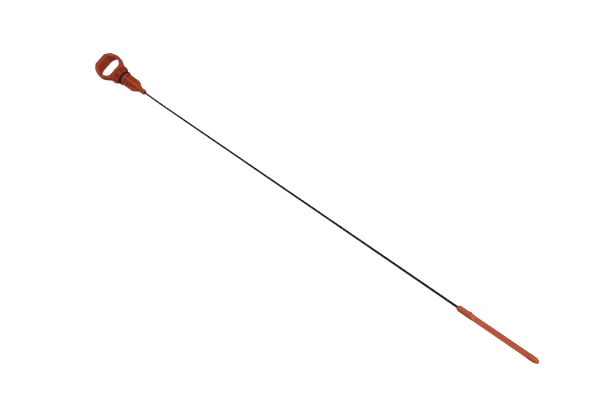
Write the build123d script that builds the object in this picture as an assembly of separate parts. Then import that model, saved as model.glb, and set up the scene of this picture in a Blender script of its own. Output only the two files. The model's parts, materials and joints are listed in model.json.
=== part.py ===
from build123d import *
import math
import os

# Engine oil dipstick with a flexible shaft, in millimetres.
# The origin is the centre of the flange face that seats on the mouth of the guide tube.
# The stick lies on a floor as it comes to rest: on its flange, a corner of its plug and its gauge tip.
# +X runs along the stick towards the gauge tip, and +Z is up.

# Finger pull, seen from above
pull_length = 27.0
pull_width = 28.2
pull_flat = 13.4
leg_width = 3.5
pad_thickness = 4.8
neck_length = 6.1
root_width = 17.0
shoulder_length = 11.0
pull_corner_radius = 9.0
shoulder_radius = 9.0
flat_corner_radius = 1.6
neck_corner_radius = 4.0
pad_corner_radius = 3.0

# Most of a straight side that the rounding of its corners may take
corner_share = 0.9

# Finger pull, seen from the side
leg_depth = 5.8
pad_depth = 12.2
crown_taper_length = 8.5
heel_taper_length = 11.5
pad_taper_radius = 3.0
pad_brow_radius = 2.0
pull_edge_chamfer = 0.6

# Round flange that seats on the guide tube
flange_radius = 9.8
flange_thickness = 3.3
flange_edge_chamfer = 0.6

# Plug: four ribs round a core, tied together by discs
web_thickness = 2.8
web_sink = 0.05
core_radius = 2.6
rib_radius = 6.25
gland_radius = 6.5
seat_to_gland = 3.5
gland_wall = 1.5
land_length = 2.5
land_edge_chamfer = 0.3
rib_bay = 3.1
rib_disc = 2.0
nose_bay = 2.65
nose_disc = 1.7
nose_straight = 2.85
nose_taper = 7.0
nose_tip_length = 7.35
nose_end_chamfer = 0.9

# Seal ring and its groove
seal_diameter = 15.0
seal_section = 3.0
seal_side_gap = 0.05
seal_floor_gap = 0.05
groove_play = 0.3

# Coated cable
cable_diameter = 2.0
cable_free = 371.1
grip_in_nose = 18.0
grip_in_tip = 11.0
straight_exit = 1.5
last_bend_reach = 46.0

# Gauge tip: round sleeve, flat gauge zone and bullet end
tip_length = 62.5
sleeve_radius = 2.3
sleeve_length = 10.8
sleeve_nose = 2.0
sleeve_lip = 0.35
gauge_width = 3.9
gauge_thickness = 2.4
front_ramp = 3.5
back_ramp = 2.6
bullet_radius = 2.2
bullet_length = 5.6
bullet_straight = 1.8
bullet_point = 0.8
gate_place = 9.3
gate_radius = 0.75
gate_height = 0.35

# Places along the handle's axis that follow from the sizes
flange_back = -flange_thickness
pull_end = flange_back - pull_length
shoulder_x = flange_back - shoulder_length
groove_width = seal_section + groove_play
groove_start = seat_to_gland + gland_wall
groove_end = groove_start + groove_width
land_end = groove_end + land_length
rib_disc_start = land_end + rib_bay
nose_disc_start = rib_disc_start + rib_disc + nose_bay
nose_corner = nose_disc_start + nose_disc + nose_straight
nose_taper_end = nose_corner + nose_taper
nose_end = nose_taper_end + nose_tip_length

# The seal ring sits on the groove's floor, against its rear wall
seal_section_radius = seal_section / 2
seal_centre_radius = seal_diameter / 2 - seal_section_radius
groove_floor_radius = seal_centre_radius - seal_section_radius - seal_floor_gap
seal_plane = groove_start + seal_side_gap + seal_section_radius

# The handle lies on the rim of its flange and on the corner of its lower web, so its nose points down
handle_tilt = math.degrees(math.atan2(flange_radius - rib_radius, nose_corner + flange_edge_chamfer))

# Heights while the stick lies: the cable levels out on the floor, and the tip's sleeve lies on it
tilt_sine = math.sin(math.radians(handle_tilt))
tilt_cosine = math.cos(math.radians(handle_tilt))
cable_radius = cable_diameter / 2
floor_height = flange_edge_chamfer * tilt_sine - flange_radius * tilt_cosine
tip_axis_height = floor_height + sleeve_radius
first_bend = -(floor_height + cable_radius) / tilt_sine
print(f"tilt {handle_tilt:.3f} degrees, floor at {floor_height:.3f} mm")
print(f"the cable levels out about {first_bend - nose_end:.1f} mm past the nose")

# Slope of the pull's shoulders against the axis
shoulder_turn = math.atan2((pull_width - root_width) / 2, shoulder_length)


def mirrored(points):
    """Close a half outline, given from left to right above the X axis, with its mirror image."""
    return points + [(x, -y) for x, y in reversed(points)]


def corner_points(shape, x, half_width):
    """The two vertices of an outline at one X, above and below the axis."""
    return [v for v in shape.vertices()
            if abs(v.X - x) < 1e-6 and abs(abs(v.Y) - half_width) < 1e-6]


def disc(start, thickness, radius):
    """A round disc on the plug's axis."""
    return Pos(start, 0, 0) * extrude(Plane.YZ * Circle(radius), thickness)


def pull_outline():
    """Outside of the finger pull from above: flat end, cut corners, straight sides, sloped shoulders."""
    half = pull_width / 2
    corner_x = pull_end + half - pull_flat / 2
    side_room = (shoulder_x - corner_x) / 2
    outline = make_face(Polyline(*mirrored([
        (pull_end, pull_flat / 2),
        (corner_x, half),
        (shoulder_x, half),
        (flange_back, root_width / 2),
    ]), close=True))
    corner_room = corner_share * side_room / math.tan(math.pi / 8)
    shoulder_room = corner_share * side_room / math.tan(shoulder_turn / 2)
    corner_radius = min(pull_corner_radius, corner_room)
    side_radius = min(shoulder_radius, shoulder_room)
    outline = fillet(corner_points(outline, corner_x, half), corner_radius)
    outline = fillet(corner_points(outline, shoulder_x, half), side_radius)
    return fillet(corner_points(outline, pull_end, pull_flat / 2), flat_corner_radius)


def finger_opening():
    """The finger hole: parallel to the pull's outside, with a straight edge at the pad and at the neck."""
    half = pull_width / 2 - leg_width
    slant = leg_width * math.sqrt(2)
    pad_x = pull_end + pad_thickness
    pad_half = pull_flat / 2 + pad_thickness - slant
    corner_x = pull_end + half - pull_flat / 2 + slant
    side_end = shoulder_x - leg_width * math.tan(shoulder_turn / 2)
    neck_x = flange_back - neck_length
    neck_half = half - (neck_x - side_end) * math.tan(shoulder_turn)
    outline = make_face(Polyline(*mirrored([
        (pad_x, pad_half),
        (corner_x, half),
        (side_end, half),
        (neck_x, neck_half),
    ]), close=True))
    side_room = (side_end - corner_x) / 2
    corner_room = corner_share * side_room / math.tan(math.pi / 8)
    shoulder_room = corner_share * side_room / math.tan(shoulder_turn / 2)
    corner_radius = min(pull_corner_radius - leg_width, corner_room)
    side_radius = min(shoulder_radius - leg_width, shoulder_room)
    outline = fillet(corner_points(outline, corner_x, half), corner_radius)
    outline = fillet(corner_points(outline, side_end, half), side_radius)
    outline = fillet(corner_points(outline, neck_x, neck_half), neck_corner_radius)
    return fillet(corner_points(outline, pad_x, pad_half), pad_corner_radius)


def pull_side():
    """The finger pull from the side: the end pad is tall, and past it the height runs down to the legs'."""
    brow_x = pull_end + pad_thickness
    crown_x = pull_end + crown_taper_length
    heel_x = pull_end + heel_taper_length
    outline = make_face(Polyline(
        (pull_end, pad_depth / 2),
        (brow_x, pad_depth / 2),
        (crown_x, leg_depth / 2),
        (flange_back, leg_depth / 2),
        (flange_back, -leg_depth / 2),
        (heel_x, -leg_depth / 2),
        (brow_x, -pad_depth / 2),
        (pull_end, -pad_depth / 2),
        close=True,
    ))
    outline = fillet(corner_points(outline, brow_x, pad_depth / 2), pad_brow_radius)
    outline = fillet(corner_points(outline, heel_x, leg_depth / 2), pad_taper_radius)
    return fillet(corner_points(outline, crown_x, leg_depth / 2), pad_taper_radius)


def finger_pull():
    """The loop: its outline from above, kept to its outline from the side, with its rims broken."""
    plan = extrude(pull_outline() - finger_opening(), pad_depth, both=True)
    side = extrude(Plane.XZ * pull_side(), pull_width, both=True)
    loop = plan & side
    at_flange = flange_back - pull_edge_chamfer
    upright = [e for e in loop.edges() if abs((e % 0.5).Z) > 0.9]
    rim = [e for e in loop.edges() if e.center().X < at_flange and e not in upright]
    return chamfer(rim, pull_edge_chamfer)


def flange():
    """The stop: a thick round plate with broken edges."""
    plate = disc(flange_back, flange_thickness, flange_radius)
    return chamfer(plate.edges().filter_by(GeomType.CIRCLE), flange_edge_chamfer)


def web():
    """One flat web of the plug's cross, full height to the nose and then tapering to the core."""
    outline = make_face(Polyline(*mirrored([
        (0, rib_radius),
        (nose_corner, rib_radius),
        (nose_taper_end, core_radius - web_sink),
    ]), close=True))
    return extrude(Plane.XZ * outline, web_thickness / 2, both=True)


def plug():
    """Crossed webs round a core, with gland discs either side of the seal and two ribs near the nose."""
    upright = web()
    body = upright + upright.rotate(Axis.X, 90)
    nose = disc(0, nose_end, core_radius)
    body += chamfer(nose.edges().sort_by(Axis.X)[-1], nose_end_chamfer)
    gland = disc(seat_to_gland, land_end - seat_to_gland, gland_radius)
    body += chamfer(gland.edges().sort_by(Axis.X)[-1], land_edge_chamfer)
    body += disc(rib_disc_start, rib_disc, rib_radius)
    body += disc(nose_disc_start, nose_disc, rib_radius)
    groove = disc(groove_start, groove_width, 2 * gland_radius)
    groove -= disc(groove_start, groove_width, groove_floor_radius)
    return body - groove


def lying(shape):
    """Turn a shape of the handle, made level, to the way that the handle lies."""
    return Rot(0, handle_tilt, 0) * shape


def handle():
    """The whole orange moulding, with the blind bore that grips the cable."""
    body = finger_pull() + flange() + plug()
    return lying(body - disc(nose_end - grip_in_nose, grip_in_nose, cable_radius))


def seal_ring():
    """The rubber ring: the outer half of its round section seals, and the inner half sits in the groove."""
    centre = (seal_plane, seal_centre_radius)
    outer_half = CenterArc(centre, seal_section_radius, 0, 180)
    inner_half = CenterArc(centre, seal_section_radius, 180, 180)
    section = make_face([*outer_half.edges(), *inner_half.edges()])
    return lying(revolve(section, Axis.X, clean=False))


def on_axis(along):
    """A point on the axis of the lying handle."""
    return Vector(along * tilt_cosine, 0, -along * tilt_sine)


def cable_corners():
    """The cable's corners: in the nose, the bend on to the floor, the bend before the tip, in the tip."""
    middle = cable_free - (first_bend - nose_end) - last_bend_reach
    start = on_axis(nose_end - grip_in_nose)
    first = on_axis(first_bend)
    last = Vector(first.X + middle, 0, tip_axis_height)
    end = last + Vector(last_bend_reach + grip_in_tip, 0, 0)
    return start, first, last, end


def cable():
    """A round wire along straight stretches joined by two long tangent arcs."""
    corners = cable_corners()
    pieces = []
    place = corners[0]
    reaches = (first_bend - nose_end - straight_exit, last_bend_reach - straight_exit)
    for number, reach in enumerate(reaches, start=1):
        before = (corners[number] - corners[number - 1]).normalized()
        after = (corners[number + 1] - corners[number]).normalized()
        arc_start = corners[number] - before * reach
        arc_end = corners[number] + after * reach
        turn = before.get_angle(after)
        bend_radius = reach / math.tan(math.radians(turn / 2))
        print(f"bend {number}: turns {turn:.2f} degrees, radius {bend_radius:.0f} mm")
        pieces.append(Line(place, arc_start))
        pieces.append(TangentArc(arc_start, arc_end, tangent=before))
        place = arc_end
    pieces.append(Line(place, corners[-1]))
    path = Wire([edge for piece in pieces for edge in piece.edges()])
    section = Plane(origin=corners[0], z_dir=on_axis(1)) * Circle(cable_radius)
    wire = sweep(section, path=path)
    print(f"cable: {path.length:.1f} mm long, volume off by "
          f"{wire.volume - math.pi * cable_radius ** 2 * path.length:.4f} mm3")
    return wire


def tip_round():
    """The round stock of the gauge tip: domed sleeve, long body, and a bullet end past the back ramp."""
    lip_radius = cable_radius + sleeve_lip
    bullet_start = tip_length - bullet_length
    ogive_start = bullet_start + bullet_straight
    outline = [
        Line((0, 0), (0, lip_radius)),
        TangentArc((sleeve_nose, sleeve_radius), (0, lip_radius), tangent=(-1, 0)),
        Line((sleeve_nose, sleeve_radius), (bullet_start - back_ramp, sleeve_radius)),
        Line((bullet_start - back_ramp, sleeve_radius), (bullet_start, bullet_radius)),
        Line((bullet_start, bullet_radius), (ogive_start, bullet_radius)),
        TangentArc((ogive_start, bullet_radius), (tip_length, bullet_point), tangent=(1, 0)),
        Line((tip_length, bullet_point), (tip_length, 0)),
        Line((tip_length, 0), (0, 0)),
    ]
    return revolve(make_face([edge for line in outline for edge in line.edges()]), Axis.X)


def ramped_cut(half_size, plane):
    """What is cut from both sides of the stock to leave a bar of this half size, ramped at each end."""
    outside = 2 * sleeve_radius
    flat_start = sleeve_length + front_ramp
    flat_end = tip_length - bullet_length - back_ramp
    front_run = front_ramp * (outside - half_size) / (sleeve_radius - half_size)
    back_run = back_ramp * (outside - half_size) / (bullet_radius - half_size)
    above = make_face(Polyline(
        (flat_start, half_size),
        (flat_end, half_size),
        (flat_end + back_run, outside),
        (flat_start - front_run, outside),
        close=True,
    ))
    cut = extrude(plane * above, 2 * outside, both=True)
    return cut + cut.rotate(Axis.X, 180)


def gauge_tip():
    """The far moulding: sleeve over the cable, flat gauge zone, bullet end and the moulding's gate mark."""
    body = tip_round()
    body -= ramped_cut(gauge_thickness / 2, Plane.XZ)
    body -= ramped_cut(gauge_width / 2, Plane.XY)
    mark = Cylinder(gate_radius, sleeve_radius + gate_height, align=(Align.CENTER, Align.CENTER, Align.MIN))
    body += Pos(gate_place, 0, 0) * Rot(-90, 0, 0) * mark
    body -= disc(0, grip_in_tip, cable_radius)
    tip_start = cable_corners()[2] + Vector(last_bend_reach, 0, 0)
    return Pos(*tip_start) * body


os.makedirs("parts", exist_ok=True)
for make in (handle, seal_ring, cable, gauge_tip):
    shape = make()
    export_step(shape, f"parts/{make.__name__}.step")
    print(make.__name__, len(shape.solids()), "solid", round(shape.volume, 1), "mm3")
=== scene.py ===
# %% [markdown]
# # An engine oil dipstick with a flexible shaft
# The real object is four pieces: an orange nylon handle with a finger pull, a flange and a ribbed plug, a
# black rubber ring in the plug's groove, a black coated cable, and an orange nylon gauge tip at the end.
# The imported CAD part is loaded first. Every later piece is placed from it, in metres and in its frame, so
# nothing has to be fitted by eye. The origin is the middle of the flange's seat, and +X runs to the tip.

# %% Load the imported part
import json
import math

import bmesh
import bpy
from mathutils import Euler, Matrix, Vector


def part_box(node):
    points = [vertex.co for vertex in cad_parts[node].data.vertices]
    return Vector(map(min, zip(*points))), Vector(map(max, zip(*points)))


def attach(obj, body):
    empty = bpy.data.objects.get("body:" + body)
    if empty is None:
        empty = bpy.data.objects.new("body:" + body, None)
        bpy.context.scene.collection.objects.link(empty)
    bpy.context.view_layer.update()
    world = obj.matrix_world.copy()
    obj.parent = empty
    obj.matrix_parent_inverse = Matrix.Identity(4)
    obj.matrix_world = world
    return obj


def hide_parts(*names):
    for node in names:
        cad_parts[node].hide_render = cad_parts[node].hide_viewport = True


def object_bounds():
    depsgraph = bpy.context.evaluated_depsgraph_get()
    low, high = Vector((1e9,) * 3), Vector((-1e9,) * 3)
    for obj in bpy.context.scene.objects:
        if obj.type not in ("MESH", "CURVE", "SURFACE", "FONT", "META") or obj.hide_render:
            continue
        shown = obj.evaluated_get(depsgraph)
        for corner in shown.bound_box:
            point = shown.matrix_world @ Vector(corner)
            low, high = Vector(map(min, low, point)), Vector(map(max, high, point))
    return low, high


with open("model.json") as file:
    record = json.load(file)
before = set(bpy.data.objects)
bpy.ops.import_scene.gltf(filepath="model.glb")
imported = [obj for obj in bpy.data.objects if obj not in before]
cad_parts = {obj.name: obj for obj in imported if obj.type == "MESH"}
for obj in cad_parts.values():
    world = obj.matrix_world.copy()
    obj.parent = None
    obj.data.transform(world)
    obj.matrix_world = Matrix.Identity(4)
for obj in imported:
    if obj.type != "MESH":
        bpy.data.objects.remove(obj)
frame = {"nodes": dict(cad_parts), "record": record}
cad_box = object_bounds()
MM = 0.001
for name in sorted(frame["nodes"]):
    low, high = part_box(name)
    print(name, "is", [round((b - a) / MM, 1) for a, b in zip(low, high)], "mm")

# %% [markdown]
# ## The camera
# The picture was taken from above, from the tip's side, with the stick running across it from the upper left
# to the lower right. A camera can be placed by trial, or worked out: here its place and turn were fitted to
# the edges of the flange, the ring, the pull and the tip, so that render and photograph lie on each other.
# The near tip looks larger than the far handle, so the lens and the distance both matter.

# %% The camera
CAMERA_PLACE = (0.53160, -0.06885, 0.43550)
CAMERA_TURN = (26.558, 20.057, 41.720)

lens = bpy.data.cameras.new("camera")
lens.lens = 39.0
lens.sensor_width = 36.0
lens.clip_start = 0.01
camera = bpy.data.objects.new("camera", lens)
camera.location = CAMERA_PLACE
camera.rotation_euler = Euler([math.radians(turn) for turn in CAMERA_TURN])
bpy.context.scene.collection.objects.link(camera)
bpy.context.scene.camera = camera
print("the camera stands", round(camera.location.length, 3), "m from the flange")

# %% [markdown]
# ## Floor and light
# The stick lies on a plain white table, the way it would come to rest. Product pictures use one large soft
# light and a room around it that fills the shadows. To lose the shadow on the table, it can also be lit from
# below, and here its paper glows. That glow would wash out the walls and the pockets, so the table is hidden
# from the rays that carry bounced light and reflections, which is what black cloth beside the object does in
# a studio. The light hangs above and beyond the tip: the tops of the mouldings are bright, their walls darker
# and the pockets beside the ribs darkest. The plain Standard view keeps the paper white in the picture.

# %% The white table
FLOOR_REACH = 3.0
PAPER = {
    "Base Color": (0.92, 0.92, 0.92, 1),
    "Roughness": 0.9,
    "Specular IOR Level": 0.1,
    "Emission Color": (1, 1, 1, 1),
    "Emission Strength": 0.7,
}

bpy.context.scene.view_settings.view_transform = "Standard"
floor_height = cad_box[0].z
bm = bmesh.new()
bmesh.ops.create_grid(bm, x_segments=1, y_segments=1, size=FLOOR_REACH)
bmesh.ops.translate(bm, verts=bm.verts, vec=(0, 0, floor_height))
floor_mesh = bpy.data.meshes.new("floor")
bm.to_mesh(floor_mesh)
bm.free()
floor = bpy.data.objects.new("floor", floor_mesh)
bpy.context.scene.collection.objects.link(floor)
floor.visible_diffuse = False
floor.visible_glossy = False
paper = bpy.data.materials.new("white_paper")
paper.use_nodes = True
for key, value in PAPER.items():
    paper.node_tree.nodes["Principled BSDF"].inputs[key].default_value = value
floor_mesh.materials.append(paper)
print("the table lies", round(-floor_height / MM, 2), "mm below the middle of the flange")

# %% The room and the soft light
ROOM_LIGHT = 0.38
LIGHT_PLACE = Vector((0.78, 0.18, 0.97))
LIGHT_AIM = Vector((0.22, 0, 0))
LIGHT_SIZE = 0.6
LIGHT_POWER = 15.8

room = bpy.data.worlds.new("bright_room")
room.use_nodes = True
room_glow = room.node_tree.nodes["Background"]
room_glow.inputs["Color"].default_value = (1, 1, 1, 1)
room_glow.inputs["Strength"].default_value = ROOM_LIGHT
bpy.context.scene.world = room

softbox = bpy.data.lights.new("softbox", "AREA")
softbox.shape = "SQUARE"
softbox.size = LIGHT_SIZE
softbox.energy = LIGHT_POWER
light = bpy.data.objects.new("softbox", softbox)
light.location = LIGHT_PLACE
light.rotation_euler = (LIGHT_AIM - LIGHT_PLACE).to_track_quat("-Z", "Y").to_euler()
bpy.context.scene.collection.objects.link(light)
print("the softbox gives", LIGHT_POWER, "W over", LIGHT_SIZE, "m")


# %% [markdown]
# ## Shader maths in plain Python
# A material's pattern is a chain of small nodes. Written out one by one, the chain hides the idea, so a small
# class wraps a node's output and lets Python's own operators add the maths nodes. `1 - grain * 0.2` then
# reads as it is meant. One method makes every other kind of node.

# %% A class for shader maths
class Shade:
    """One output of a material's nodes, with Python's operators as Math nodes."""

    def __init__(self, tree, socket=None):
        self.tree = tree
        self.socket = socket

    def node(self, kind, settings=(), sockets=(), out=0):
        """Any node: its type, its settings, what goes into its sockets, and the output that is wanted."""
        made = self.tree.nodes.new(kind)
        for key, value in dict(settings).items():
            setattr(made, key, value)
        for key, value in dict(sockets).items():
            if isinstance(value, Shade):
                self.tree.links.new(value.socket, made.inputs[key])
            else:
                made.inputs[key].default_value = value
        return Shade(self.tree, made.outputs[out])

    def math(self, operation, first, second):
        return self.node("ShaderNodeMath", {"operation": operation}, {0: first, 1: second})

    def __add__(self, other):
        return self.math("ADD", self, other)

    __radd__ = __add__

    def __mul__(self, other):
        return self.math("MULTIPLY", self, other)

    __rmul__ = __mul__

    def __sub__(self, other):
        return self.math("SUBTRACT", self, other)

    def __rsub__(self, other):
        return self.math("SUBTRACT", other, self)

    def mix(self, first, second):
        """Two colours, mixed by this value: a Mix node takes them at sockets 6 and 7 and gives one at 2."""
        return self.node("ShaderNodeMix", {"data_type": "RGBA"}, {0: self, 6: first, 7: second}, out=2)

    def speckle(self, scale, detail):
        """Cloudy noise from 0 to 1 at these coordinates, with about scale clouds to a metre."""
        return self.node("ShaderNodeTexNoise", {}, {"Vector": self, "Scale": scale, "Detail": detail})

    def bump(self, strength, depth):
        """A normal that takes this value as a height."""
        return self.node("ShaderNodeBump", {}, {"Strength": strength, "Distance": depth, "Height": self})


# %% A material and its links
def new_material(name, constants):
    """A material with its fixed values set, its shader node, and the piece's own coordinates."""
    made = bpy.data.materials.new(name)
    made.use_nodes = True
    tree = made.node_tree
    shader = tree.nodes["Principled BSDF"]
    for key, value in constants.items():
        shader.inputs[key].default_value = value
    place = Shade(tree).node("ShaderNodeTexCoord", out="Object")
    return made, shader, place


def feed(shader, **links):
    """Links values to the shader's sockets; an underscore in a name stands for a space."""
    for key, value in links.items():
        value.tree.links.new(value.socket, shader.inputs[key.replace("_", " ")])


# %% [markdown]
# ## Orange nylon
# Both mouldings are pigmented nylon with a satin surface from a finely eroded mould. Close up, the colour
# drifts a little where the melt flowed, the grain scatters the light, and the gloss changes in soft patches.
# All three come from noise on the piece's own coordinates, so the finish stays on the piece.

# %% Orange nylon
def orange_nylon(name, deep, clear):
    """Satin nylon between a deep and a clear tone of its orange."""
    made, shader, place = new_material(name, {"IOR": 1.53, "Specular IOR Level": 0.11})
    flow = place.speckle(scale=70, detail=3)
    mottle = place.speckle(scale=1100, detail=2)
    grain = place.speckle(scale=5200, detail=1)
    feed(
        shader,
        Base_Color=(flow * 0.6 + mottle * 0.4).mix(deep, clear),
        Roughness=0.44 + mottle * 0.14 + flow * 0.06,
        Normal=grain.bump(strength=0.25, depth=0.03 * MM),
    )
    print(name, "runs from", deep[:3], "to", clear[:3])
    return made


handle_nylon = orange_nylon(
    "handle_nylon", deep=(0.245, 0.0255, 0.0068, 1), clear=(0.345, 0.0475, 0.0145, 1))
# The tip's tone is lighter and paler than the handle's. Part of that is its own colour as a separate
# moulding, and part is painted light: the brighter light near the tip and a painted pale sheen for its
# slopes.
tip_nylon_and_painted_sheen = orange_nylon(
    "tip_nylon_and_painted_sheen", deep=(0.260, 0.0375, 0.0115, 1), clear=(0.365, 0.0665, 0.0280, 1))

# %% [markdown]
# ## Black rubber and black cable coating
# The ring is soft rubber with a dull shine. The cable's coating is drawn through a die, so it is smoother, a
# little blue, and its faint lines run along the stick. Stretching the noise along X gives those lines.

# %% Black rubber and cable coating
RUBBER_BLACK = (0.005, 0.005, 0.010, 1)
RUBBER_BLOOM = (0.011, 0.010, 0.019, 1)
COATING_BLACK = (0.0025, 0.0028, 0.0045, 1)
COATING_SCUFFED = (0.007, 0.008, 0.014, 1)
DRAWN_ALONG_X = (0.04, 1, 1)


def black_rubber():
    """Dull rubber with fine pores and patches of pale bloom."""
    made, shader, place = new_material("black_rubber", {"IOR": 1.5, "Specular IOR Level": 0.1})
    bloom = place.speckle(scale=400, detail=3)
    pores = place.speckle(scale=4000, detail=1)
    feed(
        shader,
        Base_Color=bloom.mix(RUBBER_BLACK, RUBBER_BLOOM),
        Roughness=0.42 + bloom * 0.2,
        Normal=pores.bump(strength=0.15, depth=0.02 * MM),
    )
    return made


def cable_coating():
    """Smooth black coating with drawn lines and a few scuffs."""
    made, shader, place = new_material("cable_coating", {"IOR": 1.5, "Specular IOR Level": 0.1})
    drawn = place.node("ShaderNodeMapping", {}, {"Vector": place, "Scale": DRAWN_ALONG_X})
    lines = drawn.speckle(scale=3500, detail=2)
    scuff = place.speckle(scale=120, detail=4)
    feed(
        shader,
        Base_Color=scuff.mix(COATING_BLACK, COATING_SCUFFED),
        Roughness=0.33 + scuff * 0.2,
        Normal=lines.bump(strength=0.2, depth=0.02 * MM),
    )
    return made


def finish_node(node, material):
    """Gives a CAD node its finish, in place of the plain packed one."""
    piece = frame["nodes"][node]
    piece.data.materials.clear()
    piece.data.materials.append(material)
    print(node, "is finished in", material.name)


finish_node("seal_ring", black_rubber())
finish_node("cable", cable_coating())

# %% [markdown]
# ## The handle's moulding
# A moulded edge is never quite sharp: the mould's own corners and the flow of the melt round it off, and the
# thin bright line on such an edge is what makes plastic look like plastic. Bevelling is the usual way, but
# the bevel tool is held back everywhere by the shortest facet of the CAD mesh. So a copy of the CAD handle
# is welded and remeshed into even little cells, and these are evened out a few times. Flats stay flat, and
# every edge, outer and inner, gets the small radius that a mould leaves. The handle lies nose down, so it is
# levelled for this and tilted back: cells that run along its ribs leave cleaner edges than slanting ones.

# %% Soft edges on a moulding
WELD = 1e-6
FLAT_ANGLE = math.radians(0.3)


def welded_copy(node):
    """A bmesh of a CAD node with its loose triangles joined and its flat faces whole."""
    bm = bmesh.new()
    bm.from_mesh(frame["nodes"][node].data)
    bmesh.ops.remove_doubles(bm, verts=bm.verts, dist=WELD)
    bmesh.ops.dissolve_limit(bm, angle_limit=FLAT_ANGLE, verts=bm.verts, edges=bm.edges)
    return bm


def soft_edged(bm, cell, rounds, tilt=0.0):
    """The shape in even cells along its tilted axis, its edges rounded by about twice a cell's size."""
    bmesh.ops.rotate(bm, verts=bm.verts, matrix=Matrix.Rotation(-tilt, 3, "Y"))
    mesh = bpy.data.meshes.new("sharp_shape")
    bm.to_mesh(mesh)
    bm.free()
    shape = bpy.data.objects.new("sharp_shape", mesh)
    bpy.context.scene.collection.objects.link(shape)
    cells = shape.modifiers.new("cells", "REMESH")
    cells.mode = "VOXEL"
    cells.voxel_size = cell
    soft = bmesh.new()
    soft.from_object(shape, bpy.context.evaluated_depsgraph_get())
    bpy.data.objects.remove(shape)
    bpy.data.meshes.remove(mesh)
    for _ in range(rounds):
        bmesh.ops.smooth_vert(soft, verts=soft.verts, factor=0.5,
                              use_axis_x=True, use_axis_y=True, use_axis_z=True)
    bmesh.ops.rotate(soft, verts=soft.verts, matrix=Matrix.Rotation(tilt, 3, "Y"))
    print("evened out", len(soft.faces), "cells of", cell / MM, "mm")
    return soft


# %% The handle's moulding
HANDLE_CELL = 0.235 * MM
HANDLE_ROUNDS = 3


def finished(bm, name, node, material):
    """Makes the bmesh a piece that stands for a CAD node and takes that node's finish."""
    for face in bm.faces:
        face.smooth = True
    mesh = bpy.data.meshes.new(name)
    bm.to_mesh(mesh)
    bm.free()
    mesh.materials.append(material)
    piece = bpy.data.objects.new(name, mesh)
    bpy.context.scene.collection.objects.link(piece)
    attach(piece, "root")
    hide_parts(node)
    mesh.calc_loop_triangles()
    print(name, "has", len(mesh.loop_triangles), "triangles")


mounts = {mount["name"]: mount for mount in frame["record"]["mounts"]}
seat_axis = Vector(mounts["tube_seat"]["axis"])
handle_tilt = math.atan2(-seat_axis.z, seat_axis.x)
print("the handle lies nose down by", round(math.degrees(handle_tilt), 2), "degrees")
handle_shape = soft_edged(welded_copy("handle"), HANDLE_CELL, HANDLE_ROUNDS, handle_tilt)
finished(handle_shape, "handle_moulding", "handle", handle_nylon)

# %% [markdown]
# ## The hatched gauge tip
# The flats of the tip are cross-hatched so that oil clings to them and its level can be read. A bump map
# would vanish at the edges and in the exported mesh, so the hatch is real. Each flat is first a single face.
# It is cut by two families of slanting planes, every diamond that this leaves is inset, and the lines of the
# cuts are then pressed down. The grooves run out at the rim of the flat, as they do where a tool has cut the
# mould. The edges are softened last, in finer cells than the handle's, so the grooves are rounded too.

# %% The flats of the gauge tip
HATCH_START = 21.0 * MM
HATCH_PITCH = 1.2 * MM
GROOVE_HALF_WIDTH = 0.24 * MM
GROOVE_DEPTH = 0.3 * MM
LEAST_DIAMOND = 0.4 * HATCH_PITCH ** 2
NEARLY_LEVEL = 0.99


def cut(bm, patch, point, across):
    """Cuts a patch of faces along a plane and returns the faces of the patch."""
    geom = patch + list({e for f in patch for e in f.edges}) + list({v for f in patch for v in f.verts})
    made = bmesh.ops.bisect_plane(bm, geom=geom, dist=WELD, plane_co=point, plane_no=across)
    return [part for part in made["geom"] if isinstance(part, bmesh.types.BMFace)]


def hatch(bm, side, start):
    """Presses crossing grooves into the flat that faces up (side 1) or down (side -1)."""
    flat = max((f for f in bm.faces if f.normal.z * side > NEARLY_LEVEL), key=lambda f: f.calc_area())
    height = flat.calc_center_median().z
    end = max(v.co.x for v in flat.verts)
    patch = [f for f in cut(bm, [flat], (start, 0, height), (1, 0, 0)) if f.calc_center_median().x > start]
    half_width = max(v.co.y for f in patch for v in f.verts)
    step = HATCH_PITCH * math.sqrt(2)
    place = start - half_width
    while place < end + half_width:
        for lean in (1, -1):
            patch = cut(bm, patch, (place, 0, height), (1, lean, 0))
        place += step
    lines = [v for v in {v for f in patch for v in f.verts}
             if start + WELD <= v.co.x <= end - WELD and abs(v.co.y) <= half_width - WELD]
    diamonds = [f for f in patch if f.calc_area() > LEAST_DIAMOND]
    bmesh.ops.inset_individual(bm, faces=diamonds, thickness=GROOVE_HALF_WIDTH, depth=0, use_even_offset=True)
    bmesh.ops.translate(bm, verts=lines, vec=(0, 0, -side * GROOVE_DEPTH))
    print(len(diamonds), "diamonds on a flat", round((end - start) / MM, 1), "mm long")


# %% The hatched gauge tip
TIP_CELL = 0.12 * MM
TIP_ROUNDS = 2

tip_shape = welded_copy("gauge_tip")
tip_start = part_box("gauge_tip")[0].x
for side in (1, -1):
    hatch(tip_shape, side, tip_start + HATCH_START)
tip_shape = soft_edged(tip_shape, TIP_CELL, TIP_ROUNDS)
finished(tip_shape, "gauge_tip_moulding", "gauge_tip", tip_nylon_and_painted_sheen)
